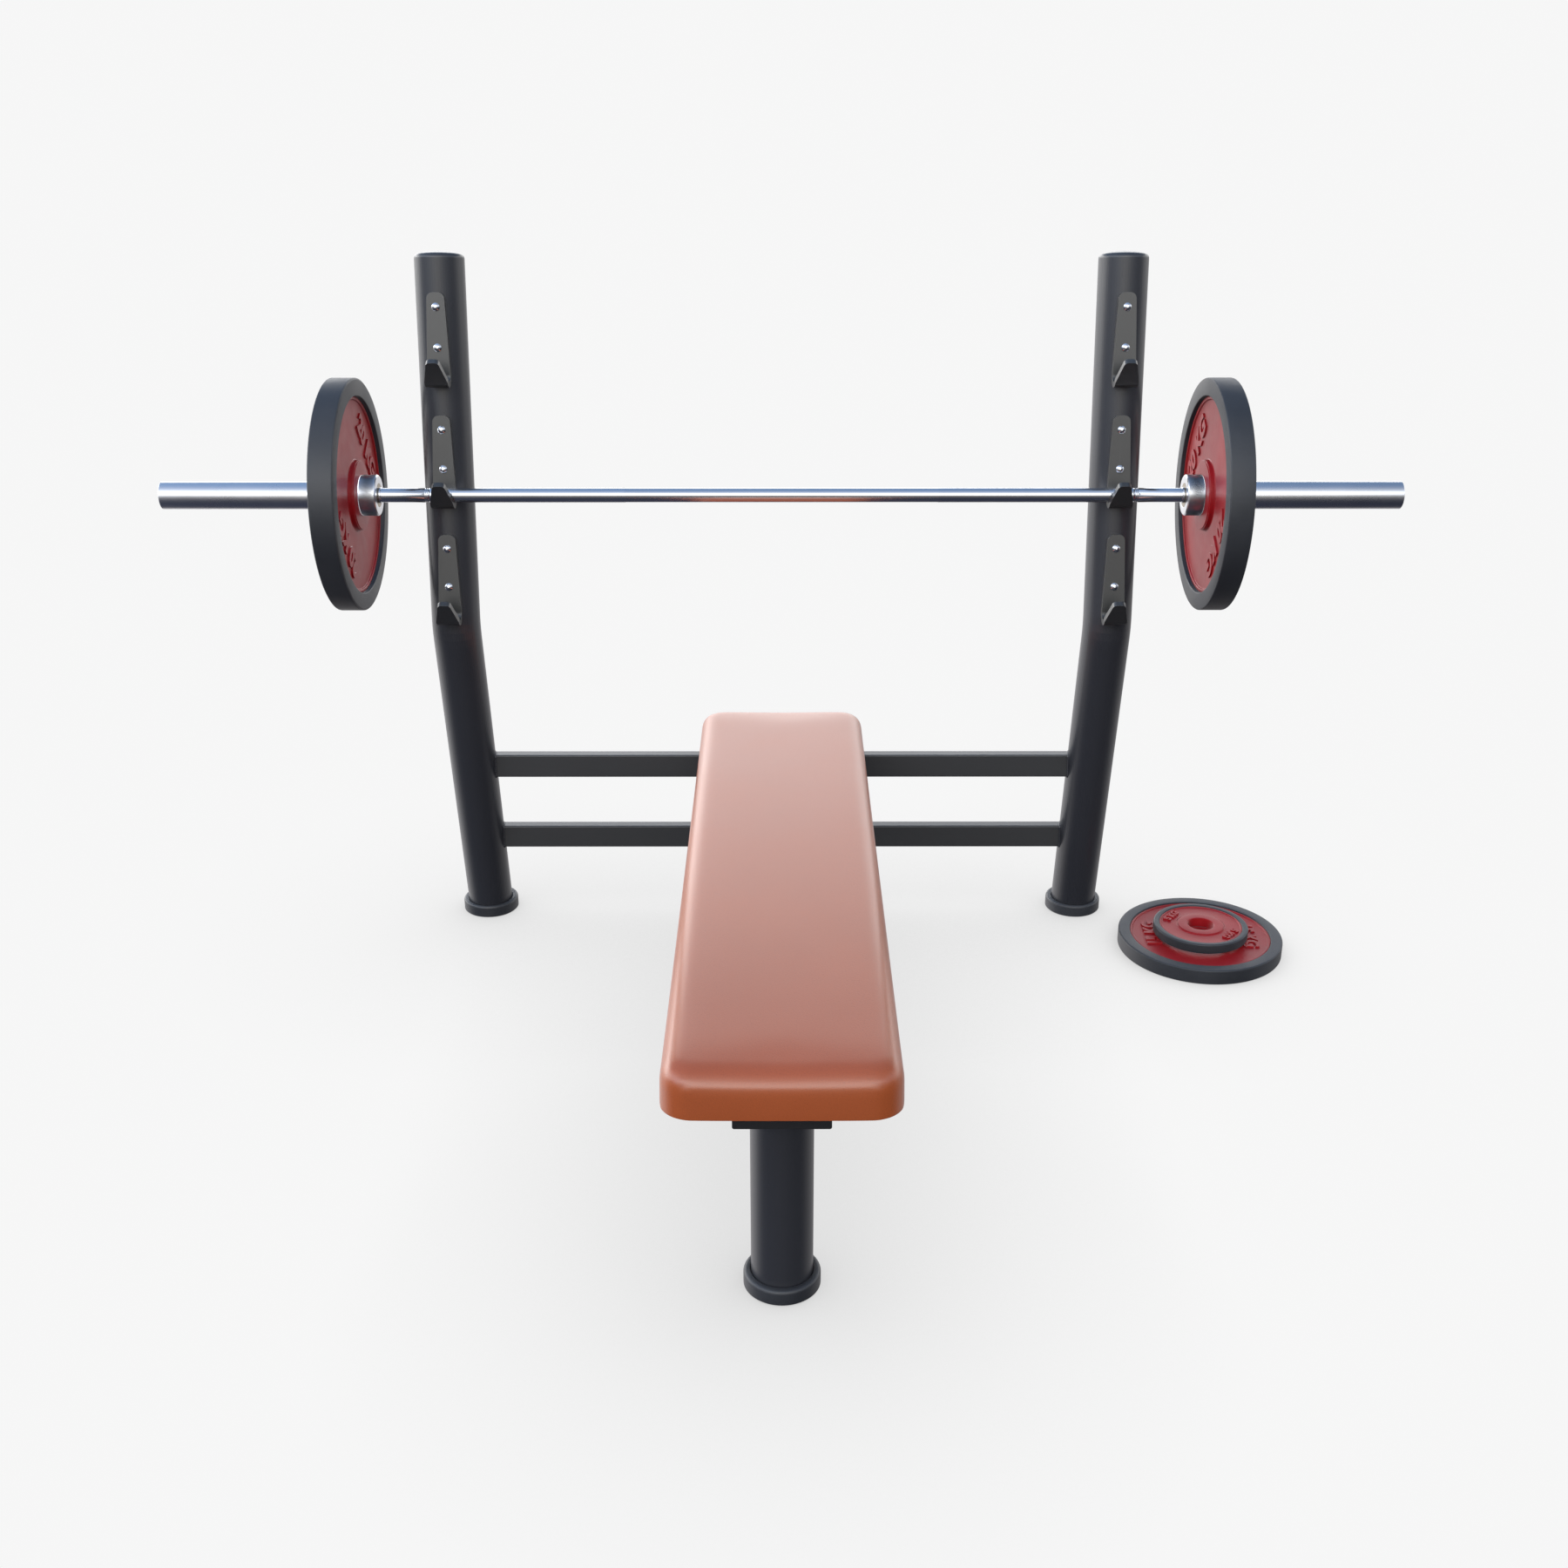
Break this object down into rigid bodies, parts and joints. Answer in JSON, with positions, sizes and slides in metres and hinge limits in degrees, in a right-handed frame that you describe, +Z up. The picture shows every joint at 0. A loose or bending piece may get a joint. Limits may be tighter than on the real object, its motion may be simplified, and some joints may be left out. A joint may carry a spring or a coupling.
{
  "type": "olympic bench press",
  "caption": "Flat padded bench on a bent round-tube rack with V-shaped bar hooks, a loaded barbell and spare plates.",
  "frame": {"origin": "on the floor, at the middle of the footprint's bounding box", "axes": "+X along the barbell to the lifter's left as they lie with feet towards -Y, +Y from the bench's foot end to the rack, +Z up"},
  "size_m": [2.2, 1.422, 1.3109],
  "materials": {
    "frame_paint": "charcoal powder coat, satin",
    "cap_plastic": "moulded black plastic, satin",
    "foot_rubber": "moulded dark rubber",
    "hook_steel": "grey powder coat, satin",
    "screw_chrome": "polished",
    "plain_steel": "zinc plated",
    "board_wood": "plywood",
    "pad_foam": "closed foam",
    "pad_vinyl": "terracotta vinyl, fine grain",
    "bar_chrome": "polished hard chrome, knurled grip",
    "bush_bronze": "sintered bronze",
    "end_cap_plastic": "black",
    "plate_iron": "red enamel, semi-gloss",
    "plate_rubber": "moulded black rubber"
  },
  "bodies": {
    "frame": {"upright_left": "frame_paint", "upright_right": "frame_paint", "upright_cap_left": "cap_plastic", "upright_cap_right": "cap_plastic", "crossbar_upper": "frame_paint", "crossbar_lower": "frame_paint", "front_leg": "frame_paint", "spine_tube": "frame_paint", "spine_end_plug": "cap_plastic", "foot_front": "foot_rubber", "foot_rear_left": "foot_rubber", "foot_rear_right": "foot_rubber", "hook_left_top": "hook_steel", "hook_left_middle": "hook_steel", "hook_left_bottom": "hook_steel", "hook_right_top": "hook_steel", "hook_right_middle": "hook_steel", "hook_right_bottom": "hook_steel", "hook_screws_left": "screw_chrome", "hook_screws_right": "screw_chrome", "hook_bosses_left": "plain_steel", "hook_bosses_right": "plain_steel", "pad_board": "board_wood", "pad_foam": "pad_foam", "pad_cover": "pad_vinyl", "pad_bolts": "plain_steel", "pad_washers": "plain_steel", "pad_tee_nuts": "plain_steel"},
    "bar": {"bar_shaft": "bar_chrome", "shaft_ring_left": "plain_steel", "shaft_ring_right": "plain_steel"},
    "left_sleeve": {"sleeve_left": "bar_chrome", "inner_bush_left": "bush_bronze", "outer_bush_left": "bush_bronze", "end_cap_left": "end_cap_plastic"},
    "right_sleeve": {"sleeve_right": "bar_chrome", "inner_bush_right": "bush_bronze", "outer_bush_right": "bush_bronze", "end_cap_right": "end_cap_plastic"},
    "left_plate": {"plate_core_left": "plate_iron", "plate_rim_left": "plate_rubber"},
    "right_plate": {"plate_core_right": "plate_iron", "plate_rim_right": "plate_rubber"},
    "spare_large": {"spare_large_core": "plate_iron", "spare_large_rim": "plate_rubber"},
    "spare_small": {"spare_small_core": "plate_iron", "spare_small_rim": "plate_rubber"}
  },
  "joints": [
    {"name": "barbell_lift", "type": "slide", "parent": "frame", "child": "bar", "axis": [0, -0.342, 0.9397], "range_m": [0, 0.45]},
    {"name": "left_sleeve_spin", "type": "hinge", "parent": "bar", "child": "left_sleeve", "pos_m": [-0.9, 0.47642, 0.901], "axis": [1, 0, 0], "continuous": true},
    {"name": "right_sleeve_spin", "type": "hinge", "parent": "bar", "child": "right_sleeve", "pos_m": [0.9, 0.47642, 0.901], "axis": [1, 0, 0], "continuous": true},
    {"name": "left_plate_slide", "type": "slide", "parent": "left_sleeve", "child": "left_plate", "axis": [-1, 0, 0], "range_m": [0, 0.38]},
    {"name": "right_plate_slide", "type": "slide", "parent": "right_sleeve", "child": "right_plate", "axis": [1, 0, 0], "range_m": [0, 0.38]},
    {"name": "spare_large_lift", "type": "slide", "parent": "frame", "child": "spare_large", "axis": [0, 0, 1], "range_m": [0, 0.4]},
    {"name": "spare_small_lift", "type": "slide", "parent": "spare_large", "child": "spare_small", "axis": [0, 0, 1], "range_m": [0, 0.2]}
  ]
}
